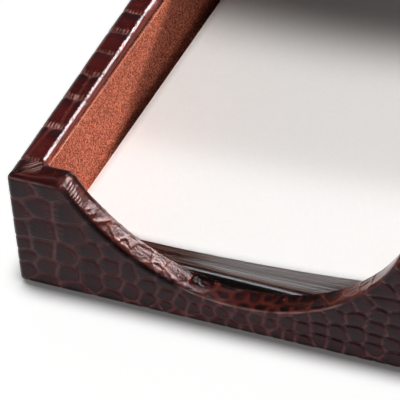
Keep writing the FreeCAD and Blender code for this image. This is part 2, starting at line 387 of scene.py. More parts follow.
scale_dark = (0.010, 0.003, 0.005, 1)
scale_red = (0.060, 0.0105, 0.009, 1)
rim_red = (0.068, 0.0064, 0.0055, 1)
groove_brown = (0.20, 0.064, 0.066, 1)
groove_warm = (0.19, 0.047, 0.028, 1)
# The worn tan colour is wear on the frayed mitre strands. It also paints glints on the side rims' ticks and sheen
# along the lip's front edge.
worn_and_glint_tan = (0.40, 0.24, 0.21, 1)
leather, tree, shader = finish("crocodile_embossed_leather", 0.2, IOR=1.45, Specular_IOR_Level=0.24,
                               Specular_Tint=(1, 0.85, 0.96, 1))
groove, tone, shade, warm, worn_and_glint, satin, polish = (
    from_mesh(tree, "scale_" + name) for name in ("groove", "tone", "shade", "warm", "worn_and_glint", "satin", "polish"))
mottle = grain(tree, 700, 4)
pebble = grain(tree, 1500, 3)
scuffed = reckon(tree, "MULTIPLY_ADD", mottle, 0.5, -0.22)
body = reckon(tree, "ADD", shade, scuffed, use_clamp=True)
red = ramp(tree, warm, [(0.0, scale_red), (1.0, rim_red)])
valley = ramp(tree, warm, [(0.0, groove_brown), (1.0, groove_warm)])
mixed = mix(tree, groove, mix(tree, body, red, scale_dark), valley)
toned = node(tree, "HueSaturation", {"Value": tone, "Color": mixed}).outputs["Color"]
tint(tree, shader, mix(tree, worn_and_glint, toned, worn_and_glint_tan))
gloss = span(tree, mottle, 0.3, 0.7, 0.10, 0.20)
tree.links.new(reckon(tree, "MULTIPLY_ADD", satin, 0.15, gloss), shader.inputs["Roughness"])
unpolished = reckon(tree, "SUBTRACT", 1.0, polish)
roughen(tree, shader, reckon(tree, "MULTIPLY", pebble, unpolished), 0.4, 0.00035)


def side_cover(salt):
    """The strip over the left wall: the wrap carried straight along the wall, with one row of long scales on the
    rim, whose lengthwise line wanders from the outer to the inner edge. The inner edge is pressed flat, the ticks
    on the rim are painted pale here and there as glints, and the leather turned in below is darker."""
    count = int(2 * half_rim[1] / grid_step)
    y = np.linspace(-half_rim[1], half_rim[1], count)
    flat = np.ones(count)
    face = np.column_stack([-half_out[0] * flat, y])
    out = np.tile((-1.0, 0.0), (count, 1))
    along = np.tile((0.0, 1.0), (count, 1))
    outer, glued, lean, up, over = wrap(
        face, out, (0 * flat, flat), tray_top * flat, run=wall * flat, low_round=side_round * flat, face_rows=90,
        top_round=side_round * flat, rim_rows=15, rim_end=(wall - inner_round) * flat, inner=inner_round * flat,
        turn_in=side_turn_in * flat, along=along)[:5]
    place = y[:, None] + lean
    # Lines across the rim, as ways back from the front face, and the height of the lengthwise line between them.
    bands = np.r_[-4.0, 7.8, 22.3, 34.6, 44.5, 53.8, 63.4, 71.1, 80.5, 90.0, 99.8, 109.0, 119.0, 128.5, 138.0,
                  148.0, 157.5, 167.0, 177.0]
    middle, length = (bands[1:] + bands[:-1]) / 2, np.diff(bands)
    seam = np.interp(middle, [0, 15, 28, 40, 58, 110, 140, 175], [2.8, 2.6, 4.7, 4.3, 8.6, 4.0, 3.0, 6.0])
    seam = seam + rim_line
    centres = np.concatenate([
        np.column_stack([middle - half_out[1] + (0.8 + 1.6 * (row < -1)) * (hashed(middle, row, salt) - 0.5)
                         + 0.5 * length * (row < -1) * (row % 2),
                         seam + (row + 0.5) * row_height, length]) for row in range(-6, 3)])
    on_rim = smooth(over)
    edge, tone, end, length = scale_field(place + 0.25 * ripple(place, up, 4, salt), up, centres,
                                          flatness=0.6 + 0.7 * on_rim)[:4]
    tick = tick_comb(end, length, up, start=0.6, salt=salt) * (end < 0)
    groove = np.maximum(groove_colour(edge), 0.95 * tick)
    relief = scale_relief(edge, tick) * edge_ease(outer[..., 2], over, tray_top - side_round, side_round)
    # The inner edge, where the leather is pressed flat and its grooves fade, and the part turned in below.
    past = over - side_round * (np.pi / 2 - 1) - wall + inner_round
    inner_edge = smooth((past + 0.5) / 0.6)
    bend = np.clip(past / inner_round - pressed_middle, -pressed_half, pressed_half)
    pressed = inner_round * (np.cos(pressed_half) / np.cos(bend) - 1)
    lengthwise = on_rim * (1 - smooth((np.abs(end) - 0.6) / 0.3))
    relief = relief * (1 - 0.8 * inner_edge) * (1 - 0.75 * lengthwise)
    groove = groove * (1 - 0.5 * inner_edge - 0.45 * on_rim) * (1 - 0.55 * lengthwise)
    turned_in = smooth((past - 0.9) / 0.5)
    groove = groove + (0.4 - groove) * turned_in
    # Both ends sink where they butt against the end covers.
    butt = np.minimum(place + half_rim[1], half_rim[1] - place)
    relief = relief - butt_depth * (1 - smooth(butt / butt_reach)) + unevenness * (ripple(place, up, 6, salt) - 1)
    relief = relief + pressed * (1 + 0.3 * ripple(place, past, 1.4, salt + 2))
    # Colours: each scale darkens towards its back end, and the rim towards the front.
    shade = 0.12 + 0.88 * smooth((end - 0.1) / 0.8) * smooth((edge - 0.2) / 0.5)
    dimmed = 0.30 + 0.38 * smooth((20 - place) / 60)
    tone = (0.75 + 0.5 * tone) * (1 - on_rim * (1 - turned_in) * dimmed)
    tone = tone * (1 - turned_in * (0.15 + 0.4 * smooth((past - 1.6) / 1.6)))
    # Painted glints: pale ticks near each scale's front end, mixed in with the worn tan colour.
    worn_and_glint = tick * smooth((-end - 0.74) / 0.12) * on_rim * (1 - inner_edge)
    worn_and_glint = worn_and_glint * (0.20 + 0.20 * ripple(up, place, 1.1, salt + 4))
    return with_glued_side(embossed(outer, relief, 0), glued, {
        "groove": groove, "tone": tone, "shade": shade, "warm": on_rim, "worn_and_glint": worn_and_glint})


sections, fields = side_cover(salt=1)
left_leather = strip("left_leather", sections, leather, fields)
sections, fields = side_cover(salt=5)
right_leather = strip("right_leather", sections * (-1, -1, 1), leather, fields)
for piece, covered in ((left_leather, "left_cover"), (right_leather, "right_cover")):
    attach(piece, "tray")
    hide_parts(covered)

# End wall leather: one piece over the front face, round both corners, and over the lip of the finger scoop.
# At the corners the rim is cut on a mitre. Round the scoop's shoulders the leather gathers in small pleats.
face_round = 1.5
scoop_radius = 51.18
scoop_centre = 60.98
shoulder_round = 2.6
shoulder_height = tray_top - shoulder_round
shoulder_place = math.sqrt((scoop_radius + shoulder_round) ** 2 - (scoop_centre - shoulder_height) ** 2)
scoop_half_angle = math.atan2(shoulder_place, scoop_centre - shoulder_height)
corner = half_out - face_round
corner_way = math.pi / 2 * face_round
mitre_round = 0.3
mitre_gap = 0.12
strand_pitch = 0.75
pleat_pitch = 0.92
left_pleat, right_pleat = 0.26, 0.06
scale_wander = 0.42
first_row = 4.3
away_share = 0.72
far_off = 9.0

# Ways along the lip from its lowest point, with those to the left below zero.
left_flank, right_flank = -13, 26
pale_edge_start, pale_edge_stop = -18, 36
bend_shade_start = -14
pleats_start = -44
polish_start = 34
shoulder_way = 54.6
lip_end = 58

# Creases on the lip, each from one point to another, as ways along the lip and over it, with a height and a width.
lip_creases = [
    ((-42.4, 0.6), (-38.8, 6.6), 0.15, 0.55), ((-35.4, 1.2), (-33.2, 4.8), 0.14, 0.45),
    ((-33.4, 4.6), (-31.0, 2.4), 0.12, 0.40), ((-30.2, 5.6), (-24.6, 6.6), 0.10, 0.50),
    ((-26.2, 1.4), (-22.6, 3.9), 0.14, 0.45), ((-22.8, 3.8), (-16.8, 0.7), 0.17, 0.45),
    ((-46.3, 2.0), (-45.6, 3.6), 0.14, 0.35), ((-44.4, 2.0), (-43.7, 3.6), 0.14, 0.35),
    ((26.0, 5.0), (44.0, 4.2), 0.08, 0.40), ((33.0, 2.4), (42.0, 6.0), 0.09, 0.40),
]

# Centres of the scales on the front face, as places across and up the unrolled leather.
front_scales = [
    (-49.6, 34.2), (-57.7, 32.4), (-53.9, 27.9), (-45.0, 27.8), (-53.6, 19.8), (-44.3, 20.6), (-36.3, 23.1),
    (-53.5, 13.7), (-47.1, 13.4), (-40.1, 16.6), (-33.1, 18.1), (-53.5, 7.4), (-46.7, 6.7), (-40.3, 10.9),
    (-34.2, 12.9), (-29.4, 12.5), (-24.6, 13.4), (-53.9, 2.6), (-45.1, 2.7), (-39.9, 6.2), (-34.2, 7.4),
    (-29.5, 5.7), (-23.9, 9.4), (-19.0, 11.6), (-34.6, 2.6), (-24.4, 4.0), (-19.2, 7.8), (-15.3, 6.0),
    (-19.5, 3.3), (-11.0, 9.3), (-11.8, 5.0), (-60.0, 25.4), (-60.4, 18.8), (-59.9, 13.7), (-59.1, 10.0),
    (-58.8, 5.7), (-6.3, 9.2), (-7.7, 5.5), (-4.1, 6.2), (1.1, 5.3), (-1.7, 8.9), (1.8, 9.1), (5.8, 6.7),
    (9.5, 6.1), (10.2, 9.9),
    (13.7, 7.6), (14.1, 3.4), (11.5, 3.6), (18.1, 11.4), (18.3, 7.1), (18.4, 2.7), (22.7, 12.2), (22.7, 8.1),
    (22.7, 4.8), (27.6, 14.1), (27.9, 8.2), (27.0, 4.2), (30.9, 18.3), (33.4, 14.5), (33.1, 9.5), (32.1, 3.5),
    (35.4, 19.6), (40.0, 17.5), (38.7, 12.8), (38.3, 9.1), (38.1, 6.1), (42.1, 8.4), (42.0, 22.3), (41.3, 25.8),
    (44.5, 17.1), (44.1, 13.5), (42.7, 3.7), (-22.2, 2.0), (-17.8, 1.6), (6.2, 3.0), (2.6, 1.6),
    (-3.6, 12.1), (-0.3, 12.7), (3.8, 13.4), (7.3, 14.3), (12.5, 15.6), (16.3, 16.6), (21.5, 16.0),
    (23.5, 20.3), (7.1, 10.9), (13.2, 12.3), (16.9, 13.8), (-9.1, 15.2), (-15.8, 17.0), (9.9, 14.4),
]


def scale_centres(salt, placed):
    """Centres of the scales on an end cover: the placed ones, and between them rows of scales that are long at
    the left and short in the middle, each row half a scale out of step with the next and bent down at the right.
    The places in a row are equal steps of the running sum of 1 / size, and each wanders a little."""
    fine = np.linspace(-80, 80, 1601)
    low_size = np.interp(fine, [-62, -46, -30, -15, 0, 12, 22, 32, 45, 62],
                         [6.6, 6.4, 5.4, 4.6, 4.0, 4.2, 4.8, 5.4, 5.6, 6.4])
    high_size = np.interp(fine, [-62, -45, -34, -18, 0, 20, 34, 62], [9.2, 8.6, 6.4, 4.6, 4.1, 4.6, 5.8, 7.0])
    tall = np.interp(fine, [-62, -45, -36, -20, 0, 15, 30, 45, 62], [6.2, 6.0, 5.4, 4.7, 4.3, 4.1, 3.8, 3.8, 4.4])
    slope = np.interp(fine, [-62, -34, -14, 8, 30, 62], [0.12, 0.12, 0.03, 0.0, -0.2, -0.2])
    step = fine[1] - fine[0]
    climb = np.cumsum(step * slope)
    climb = climb - np.interp(-54, fine, climb)
    rows = []
    for row in range(-3, 13):
        size = low_size if row < 2 else high_size
        lane = np.cumsum(step / size)
        cell = np.arange(lane[-1]) + 0.5 * (row % 2)
        place = np.interp(cell + scale_wander * (hashed(cell, row, salt) - 0.5), lane, fine)
        lift = row + 0.5 + 0.5 * scale_wander * (hashed(cell, row, salt + 1) - 0.5)
        up = first_row + np.interp(place, fine, climb) + lift * np.interp(place, fine, tall)
        rows.append(np.column_stack([place, up, np.interp(place, fine, size)]))
    rows = np.concatenate(rows)
    if not placed:
        return rows
    placed = np.array(placed)
    lengths = np.interp(placed[:, 0], fine, np.where(fine < 0, high_size, low_size))
    apart, above = (rows[:, None, axis] - placed[None, :, axis] for axis in (0, 1))
    away = np.hypot(0.8 * apart, above).min(1)
    return np.concatenate([np.column_stack([placed, lengths]), rows[away > away_share * rows[:, 2]]])


def scoop_outline(step):
    """The rim's line seen from the front, from corner to corner: level, a small shoulder arc, the scoop's arc
    about a centre above the rim, and the same again. With each point goes the line's upward normal. Near the
    shoulders, where the leather is pleated, the points stand twice as close."""
    level = np.linspace(-corner[0], -shoulder_place, int((corner[0] - shoulder_place) / step))
    turn = np.linspace(np.pi / 2, np.pi / 2 - scoop_half_angle, 10)[1:]
    fine = np.linspace(-scoop_half_angle, scoop_half_angle, 2001)
    pleated = smooth(((np.abs(fine) - scoop_half_angle) * scoop_radius + 9) / 2)
    lane = np.cumsum((1 + pleated) * (fine[1] - fine[0]) * scoop_radius / step)
    sweep = np.interp(np.linspace(lane[0], lane[-1], int(lane[-1]))[1:-1], lane, fine)
    x = np.concatenate([level, shoulder_round * np.cos(turn) - shoulder_place, scoop_radius * np.sin(sweep)])
    z = np.concatenate([0 * level + tray_top, shoulder_height + shoulder_round * np.sin(turn),
                        scoop_centre - scoop_radius * np.cos(sweep)])
    lean = np.concatenate([0 * level, np.cos(turn), -np.sin(sweep)])
    rise = np.concatenate([0 * level + 1, np.sin(turn), np.cos(sweep)])
    ends = len(level) + len(turn)
    mirrored = (lambda values, sign: np.concatenate([values, sign * values[:ends][::-1]]))
    return mirrored(x, -1), mirrored(z, 1), mirrored(lean, -1), mirrored(rise, 1)


def segment_distance(s, t, start, finish):
    """Distance from each point of the lip to a straight crease between two points of it."""
    start, finish = np.array(start), np.array(finish)
    line = finish - start
    share = np.clip(((s - start[0]) * line[0] + (t - start[1]) * line[1]) / (line @ line), 0, 1)
    return np.hypot(s - start[0] - share * line[0], t - start[1] - share * line[1]), share


def lip_folds(s, t):
    """Folds of the leather on the scoop's lip: creases, each a raised line with a valley beside it, fading at
    its ends, and a comb of short pleats at each shoulder."""
    height = np.zeros_like(s)
    for start, finish, size, width in lip_creases:
        distance, share = segment_distance(s, t, start, finish)
        side = np.sign((s - start[0]) * (finish[1] - start[1]) - (t - start[1]) * (finish[0] - start[0]))
        fade = smooth(6 * share) * smooth(6 * (1 - share)) * 0.7 + 0.3
        height += size * fade * (np.exp(-(distance / width) ** 2)
                                 - 0.35 * (side > 0) * np.exp(-((distance - 1.6 * width) / width) ** 2))
    from_shoulder = shoulder_way - np.abs(s)
    comb = smooth(from_shoulder / 0.8) * smooth((7.6 - from_shoulder) / 2.5)
    across = smooth((t - 0.7) / 1.0) * smooth((5.4 - 0.35 * from_shoulder - t) / 1.2)
    pleat = smooth((np.cos(2 * np.pi * from_shoulder / pleat_pitch) + 0.3) / 1.2) - 0.4
    return height + np.where(s < 0, left_pleat, right_pleat) * pleat * comb * across


def end_plan(scooped):
    """An end wall's columns: the left return, the corner and the front face, and the first two again, mirrored.

    For each column it gives the face's place and outward direction in plan, the normal and the height of the
    rim's line, and the way along the unrolled leather from the middle of the face.
    """
    if scooped:
        x, z, lean, rise = scoop_outline(grid_step)
    else:
        x = np.linspace(-corner[0], corner[0], int(2 * corner[0] / grid_step))
        z, lean, rise = 0 * x + tray_top, 0 * x, 0 * x + 1
    back = np.linspace(half_rim[1], corner[1], 20)[:-1]
    bend = np.linspace(0, np.pi / 2, 9)[1:-1]
    turn = [np.column_stack([-corner[0] - face_round * np.cos(bend), -corner[1] - face_round * np.sin(bend)]),
            np.column_stack([-np.cos(bend), -np.sin(bend)])]
    left = [np.column_stack([0 * back - half_out[0], -back]), np.column_stack([0 * back - 1, 0 * back])]
    front = [np.column_stack([x - face_round * lean, 0 * x - half_out[1]]),
             np.column_stack([0 * x, 0 * x - 1])]
    flip = np.array([-1, 1])
    face = np.concatenate([left[0], turn[0], front[0], turn[0][::-1] * flip, left[0][::-1] * flip])
    out = np.concatenate([left[1], turn[1], front[1], turn[1][::-1] * flip, left[1][::-1] * flip])
    ends = len(back) + len(bend)
    padded = (lambda values, fill: np.concatenate([np.full(ends, fill), values, np.full(ends, fill)]))
    lean, rise, top = padded(lean, 0.0), padded(rise, 1.0), padded(z, tray_top)
    plan = np.concatenate([-corner[0] - corner_way - (corner[1] - back),
                           -corner[0] - face_round * (np.pi / 2 - bend), front[0][:, 0]])
    plan = np.concatenate([plan, -plan[:ends][::-1]])
    return face, out, lean, rise, top, plan


def end_cover(scooped, salt):
    """The front wall's cover: the wrap carried along the plan from the left return, round the corner, along the
    face under the scoop's outline and round to the right return. On the scoop's lip it has folds, pleats and
    lumps, painted shade on the outer bend at the left, a pale line on the outer bend in the middle that is partly
    wear and partly painted sheen, and a polished right end. Painted shade darkens the inner edge, and painted
    shadow slits run along the scales' upper sides. At the mitres it is cut open and frayed. Without the scoop it
    is the back wall's plain cover."""
    face, out, lean, rise, top, plan = end_plan(scooped)
    along = np.column_stack([-out[:, 1], out[:, 0]])
    # Rounded edges, and the rim's reach from the face, which the mitres cut short at the corners.
    beside = np.maximum(corner[1] - np.abs(face[:, 1]), 0)
    round_top = face_round + (side_round - face_round) * np.minimum(beside / 2, 1)
    reach = face_round + np.where(beside > 0, beside, np.maximum(corner[0] - np.abs(face[:, 0]), 0))
    mitred = reach < wall
    reach = np.minimum(reach, wall)
    spare = np.maximum(reach - round_top, 0)
    inner = np.where(mitred, np.minimum(mitre_round, 0.5 * spare), inner_round)
    rim_end = np.where(mitred, np.maximum(reach - inner - np.minimum(mitre_gap, 0.3 * spare), round_top),
                       wall - inner_round)
    outer, glued, p, q, over, depth = wrap(
        face, out, (lean, rise), top, run=reach, low_round=round_top, face_rows=96, top_round=round_top,
        rim_rows=15, rim_end=rim_end, inner=inner, turn_in=np.where(mitred, 0.5, 1.0), along=along)
    # Scales on the unrolled leather.
    p = p + plan[:, None]
    flatness = np.interp(p, [-62, -46, -28, 15, 30, 62], [0.75, 0.75, 0.9, 0.95, 0.75, 0.75])
    bent = 0.22 * ripple(p, q, 3.1, salt + 7)
    edge, tone, end, length, above = scale_field(p + bent, q + 0.6 * bent,
                                                 scale_centres(salt, front_scales * scooped), flatness)
    tick = tick_comb(end, length, q, start=0.42, salt=salt)
    # Painted shadow: a dark slit along each scale's upper side, stronger to the right, where the groove's shade
    # falls.
    slit_shadow = smooth((above - 0.4) / 0.7) * (1 - smooth((edge - 0.3) / 0.3)) * (0.3 + 0.6 * smooth((p - 5) / 20))
    groove = np.maximum(groove_colour(edge), 0.5 * tick) * (1 - slit_shadow)
    relief = scale_relief(edge, tick) - 0.12 * slit_shadow
    relief = relief * edge_ease(outer[..., 2], over, (top - round_top * rise)[:, None], round_top[:, None])
    from_corner = np.abs(np.abs(plan) - corner[0] - corner_way / 2)
    relief = relief * (0.3 + 0.7 * smooth((from_corner - 1.2) / 1.8))[:, None]
    on_rim = smooth((over - 0.3) / 1.5)
    butt = np.where(np.abs(plan) > corner[0] + corner_way, np.abs(plan[-1]) - np.abs(plan), far_off)[:, None]
    relief = relief - butt_depth * (1 - smooth(butt / butt_reach)) + unevenness * (ripple(p, q, 6, salt) - 1)
    groove = groove * (1 - 0.4 * on_rim)
    if scooped:
        # The scoop's lip: s runs along it from its lowest point, and depth across it from the face.
        line = np.hypot(np.gradient(face[:, 0] + face_round * lean), np.gradient(top))
        s = np.cumsum(np.where(np.abs(plan) < corner[0], line, 0))
        s = (s - s[len(s) // 2])[:, None] + 0 * over
        flank = on_rim * np.where(s < 0, smooth((left_flank - s) / 8), smooth((s - right_flank) / 6))
        flank = flank * smooth((lip_end - np.abs(s)) / 4)
        ridge = 1 - smooth((edge - 0.1) / 0.5)
        groove, tone = groove + (0.25 + 0.35 * ridge - groove) * flank, tone + (0.5 - tone) * flank
        raised = 0.16 * flank * ridge * smooth((46 - np.abs(s)) / 5)
        relief = relief * (1 - 0.45 * on_rim) * (1 - flank) + raised
        folds = lip_folds(s, depth)
        satin = flank * (s < 0) * (1 - 0.85 * smooth((folds - 0.03) / 0.07))
        relief = relief + on_rim * folds
        lumps = 0.035 * ripple(s, depth, 2.2, salt + 4) + 0.012 * ripple(s, depth, 0.8, salt + 5)
        crumpled = smooth((np.abs(s) - 51.5) / 1.5) * smooth((59 - np.abs(s)) / 2)
        lumps = lumps * smooth((48 - np.abs(s)) / 4) + 0.14 * crumpled * (ripple(s, depth, 0.9, salt + 8) - 1)
        polish = on_rim * smooth((s - polish_start) / 8) * smooth((lip_end - s) / 4)
        lumps = lumps * np.where(s < 0, 1.0, 0.3 * (1 - polish)) - 0.15 * (2 * depth / wall - 1) ** 2
        lumps = lumps - 0.04 * np.maximum(depth - wall + inner_round + 1.8, 0) * (s < 0)
        pleated = smooth((pleats_start - s) / 3) * smooth((lip_end + s) / 2)
        lumps = lumps - 0.12 * np.clip(depth - 1.2, 0, 3.5) * pleated
        relief = relief + on_rim * lumps * smooth((60 - np.abs(s)) / 8)
        plain = on_rim * smooth((np.abs(s) - 55) / 3)
        bent_edge = smooth(over / 0.3) * (1 - smooth((over - np.where(s < bend_shade_start, 1.4, 0.7)) / 0.8))
        # A pale line along the lip's front edge and at its shoulders, partly wear and partly painted sheen.
        pale_edge_line = smooth((s - pale_edge_start) / 5) * smooth((pale_edge_stop - s) / 8) + 0.8 * smooth((np.abs(s) - 56) / 3)
        pale_edge_line = pale_edge_line * (0.4 + 0.3 * ripple(s, over, 2.5, salt + 9))
        pale_edge_line = pale_edge_line * np.exp(-((over - 0.9) / 0.24) ** 2)
        # Painted shade on the outer bend of the lip's left flank.
        bend_shade = 0.85 * bent_edge * smooth((bend_shade_start - s) / 5) * smooth((56 + s) / 4)
    else:
        flank, plain, pale_edge_line, bend_shade, polish, satin = 0.0, 0.0, 0.0, 0.0, 0 * over, 0 * over
    # The inner edge, darkened with painted shade, and the mitres with their frayed strands.
    inner_edge = smooth((over - (round_top * (np.pi / 2 - 1) + rim_end)[:, None] + 0.5) / 0.6)
    relief, groove = relief * (1 - 0.6 * inner_edge - 0.3 * plain), groove * (1 - 0.7 * plain)
    bend_shade = np.maximum(bend_shade, 0.55 * inner_edge)
    to_mitre = np.where(mitred[:, None], (reach[:, None] - depth) * np.sqrt(0.5), far_off)
    gap = on_rim * (1 - smooth((to_mitre + 0.25 * ripple(p, q, 1.1, salt + 3)) / 0.7))
    frayed = on_rim * smooth((2.6 - to_mitre) / 1.2) * smooth((depth - 2.2) / 2.5)
    turns = to_mitre / strand_pitch + 0.3 * ripple(p, q, 2.5, salt + 6)
    strand = frayed * smooth((np.cos(2 * np.pi * turns) + 0.1) / 0.8)
    relief = relief - 0.32 * gap + 0.12 * (strand - frayed)
    groove = np.maximum(groove, 0.7 * strand) * (1 - gap)
    # Colours: each scale darkens towards its left end, the painted shadow slits along the scales' upper sides are
    # dark, and so are gaps and frayed edges.
    left_end = smooth((0.7 - end) / 1.5)
    rim_shade = on_rim * (0.15 + 0.5 * smooth((p + 11) / 8))
    shade = smooth((edge - 0.35) / 0.9) * (0.10 + 0.75 * left_end + 0.25 * (tone - 0.5) + rim_shade)
    shade = np.maximum(shade, slit_shadow)
    shade = shade + (0.45 - shade) * flank + (0.4 - shade) * plain
    shade = np.maximum(shade, np.maximum(gap, 0.6 * (frayed - strand)))
    tone = (0.75 + 0.5 * tone) * (1 - 0.58 * on_rim * (1 - flank)) * (1 - 0.25 * flank) * (1 - bend_shade)
    return with_glued_side(embossed(outer, relief, 1), glued, {
        "groove": groove, "tone": tone, "shade": shade, "warm": on_rim, "polish": polish,
        "satin": satin - 0.6 * polish, "worn_and_glint": np.maximum(pale_edge_line, 0.45 * strand)})


sections, fields = end_cover(True, salt=11)
front_leather = strip("front_leather", sections, leather, fields)
sections, fields = end_cover(False, salt=17)
back_leather = strip("back_leather", sections * (-1, -1, 1), leather, fields)
for piece, covered in ((front_leather, "front_cover"), (back_leather, "back_cover")):
    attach(piece, "tray")
    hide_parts(covered)

# Suede linings: rust split leather 0.7 mm thick, glued to the well's walls and floor with the nap side out.
# Their cut upper edges stand a little below the rim, where the turned-in leather still shows. On the side and
# back panels a row along them is painted pale, partly the raw edge's own colour and partly painted highlight.
# The front panel's upper edge and the front of the floor carry near-black painted shade for the dark gap
# between the lip and the stack.
suede_thick = 0.7
floor_top = 7.4
base_top = 6.7
rim_reveal = 1.3
back_reveal = 3.0
scoop_reveal = 1.9
suede_step = 0.6
suede_round = 0.25
nap_depth = 0.05
panel_rows = 44
gap_shade_row = 40
gap_shade_reach = 2.6
half_well = half_rim - suede_thick
suede_deep = (0.14, 0.0235, 0.011, 1)
suede_rust = (0.255, 0.049, 0.0245, 1)
suede_pale = (0.64, 0.185, 0.10, 1)
suede_cut_highlight = (0.55, 0.36, 0.30, 1)
suede_gap_shade = (0.012, 0.004, 0.003, 1)
suede, tree, shader = finish("napped_suede", 0.95, Sheen_Weight=0.1, Sheen_Roughness=0.4,
                             Sheen_Tint=(0.9, 0.55, 0.42, 1), Specular_IOR_Level=0.2)
pile = grain(tree, 3000, 1)
brushed = grain(tree, 60, 3)
blend = reckon(tree, "MULTIPLY_ADD", pile, 0.9, reckon(tree, "MULTIPLY", brushed, 0.1))
napped = ramp(tree, blend, [(0.41, suede_deep), (0.5, suede_rust), (0.59, suede_pale)])
napped = mix(tree, from_mesh(tree, "cut_edge"), napped, suede_cut_highlight)
tint(tree, shader, mix(tree, from_mesh(tree, "gap_shade"), napped, suede_gap_shade))
roughen(tree, shader, pile, 0.8, 0.00015)


def lining(along, top, near, salt):
    """A thin panel along a wall: a rectangle with a rounded upper edge carried along the wall, whose near side
    has the soft unevenness of nap. along is the place on the wall, top the panel's upper edge."""
    climb = np.linspace(0, 1, panel_rows)[None]
    top = top[:, None]
    low = floor_top + 0 * top
    bend = np.linspace(0, np.pi / 2, 4)[None, 1:]
    up = np.hstack([low + (top - suede_round - low) * climb, top - suede_round * (1 - np.sin(bend)), top, low])
    out = np.hstack([0 * top + 0 * climb, 0 * top + suede_round * (1 - np.cos(bend)), 0 * top + suede_thick,
                     0 * top + suede_thick])
    place = along[:, None] + 0 * up
    nap = nap_depth * (1 + 0.5 * ripple(place, up, 9, salt) + 0.5 * ripple(place, up, 1.3, salt + 1))
    out = np.where(out < suede_thick / 2, out + nap, out)
    row = np.arange(up.shape[1])
    # A row along the cut edge's rounded top is painted pale, partly the raw edge's own colour and partly painted
    # highlight.
    cut = (row == climb.size + 1) * (0.7 + 0.3 * ripple(place, up, 5, salt + 2))
    return place, near + out, up, {"cut_edge": cut}


y = np.linspace(-half_well[1], half_well[1], int(2 * half_well[1] / suede_step))
reveal = np.interp(y, [-half_well[1], 0, half_well[1]], [rim_reveal, back_reveal, back_reveal])
place, out, up, cut = lining(y, tray_top - reveal, half_well[0], salt=21)
left_suede = strip("left_suede", np.dstack([-out, place, up]), suede, cut)
right_suede = strip("right_suede", np.dstack([out, -place, up]), suede, cut)
x = np.linspace(-half_rim[0], half_rim[0], int(2 * half_rim[0] / suede_step))
across = np.minimum(np.abs(x), scoop_radius)
scoop_line = scoop_centre - np.sqrt((scoop_radius + scoop_reveal) ** 2 - across ** 2)
level_line = 0 * x + tray_top - rim_reveal
place, out, up, cut = lining(x, np.minimum(level_line, scoop_line), half_well[1], salt=25)
row = np.arange(up.shape[1])
# Painted shade: the front panel's upper edge and the floor's front strip are made near black.
gap_shade_mask = {"gap_shade": 0 * up + (row > gap_shade_row) * (row < len(row) - 1)}
front_suede = strip("front_suede", np.dstack([place, -out, up]), suede, gap_shade_mask)
place, out, up, cut = lining(x, level_line, half_well[1], salt=29)
back_suede = strip("back_suede", np.dstack([-place, out, up]), suede, cut)
across = np.linspace(-half_rim[1], half_rim[1], int(2 * half_rim[1] / (2 * suede_step)))
u, v = np.meshgrid(x[::2], across, indexing="ij")
pile_top = floor_top - nap_depth * (1 + 0.5 * ripple(u, v, 9, 33) + 0.5 * ripple(u, v, 1.5, 34))
edges = np.array([0, -1])
under = np.dstack([u[:, edges[::-1]], v[:, edges[::-1]], 0 * u[:, edges] + base_top])
gap_shade_mask = np.hstack([1 - smooth((v + half_rim[1] - gap_shade_reach) / 1.5), 0 * u[:, edges]])
floor_suede = strip("floor_suede", np.concatenate([np.dstack([u, v, pile_top]), under], 1), suede,
                    {"gap_shade": gap_shade_mask})
for piece, covered in ((left_suede, "left_lining"), (right_suede, "right_lining"),
                       (front_suede, "front_lining"), (back_suede, "back_lining"),
                       (floor_suede, "floor_lining")):
    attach(piece, "tray")
    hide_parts(covered)

# Felt pad: pressed wool felt with rounded corners, glued under the tray so that it doesn't mark the desk.
# It is the lowest piece, and only its cut edge shows from the side.
felt_dark = (0.030, 0.013, 0.010, 1)
felt_brown = (0.065, 0.030, 0.024, 1)
felt, tree, shader = finish("pressed_wool_felt", 1.0, Sheen_Weight=0.3, Specular_IOR_Level=0.1)
wool = grain(tree, 1800, 5)
tint(tree, shader, ramp(tree, wool, [(0.3, felt_dark), (0.7, felt_brown)]))
roughen(tree, shader, wool, 0.7, 0.0003)
dress(felt, "felt_pad")

# Backing card: a loose pasteboard under the stack, so that the last sheets lift out flat.
# Its front edge stands a little proud of the sheets, and its near-black colour is painted shade for the dark
# gap under the stack.
backing_shade_black = (0.012, 0.011, 0.011, 1)
backing_shade_grey = (0.035, 0.033, 0.032, 1)
backing, tree, shader = finish("shade_black_backing_card", 0.8)
flecks = grain(tree, 1300, 4)
tint(tree, shader, ramp(tree, flecks, [(0.35, backing_shade_black), (0.7, backing_shade_grey)]))
roughen(tree, shader, flecks, 0.3, 0.0001)
dress(backing, "backing_card")

# Memo sheets: white uncoated notepaper, cut to 4 by 6 inches and laid loose in a stack that curls up to the
# right. Each sheet is its own thin plate, a little out of line with the next, and the cut edges carry grey-brown
# painted shade, most at the left and low in the stack. The two lowest sheets have none and stand back.
sheet_size = np.array([101.6, 152.4])
sheet_count = 44
sheets_bottom = 8.4
sheets_top = 13.9
curl_rise = 7.0
curl_start = 0.13
sheet_shift = 0.3
sheet_turn = math.radians(-1.0)
sheaf_shares = (0.6, -0.8, 0.3, -0.5, 0.1)
shade_band_depth = 1.5
unshaded_sheets = 2
unshaded_drift = -0.35
paper_white = (0.86, 0.855, 0.845, 1)
paper_fibre = (0.845, 0.84, 0.83, 1)
paper_shade_grey = (0.36, 0.19, 0.155, 1)
paper, tree, shader = finish("uncoated_notepaper", 0.75, Specular_IOR_Level=0.25)
fibres = grain(tree, 1500, 5, (1, 0.5, 1))
plain_paper = ramp(tree, fibres, [(0.35, paper_fibre), (0.6, paper_white)])
tint(tree, shader, mix(tree, from_mesh(tree, "cut_edge_shade"), plain_paper, paper_shade_grey))
roughen(tree, shader, fibres, 0.03, 0.00003)


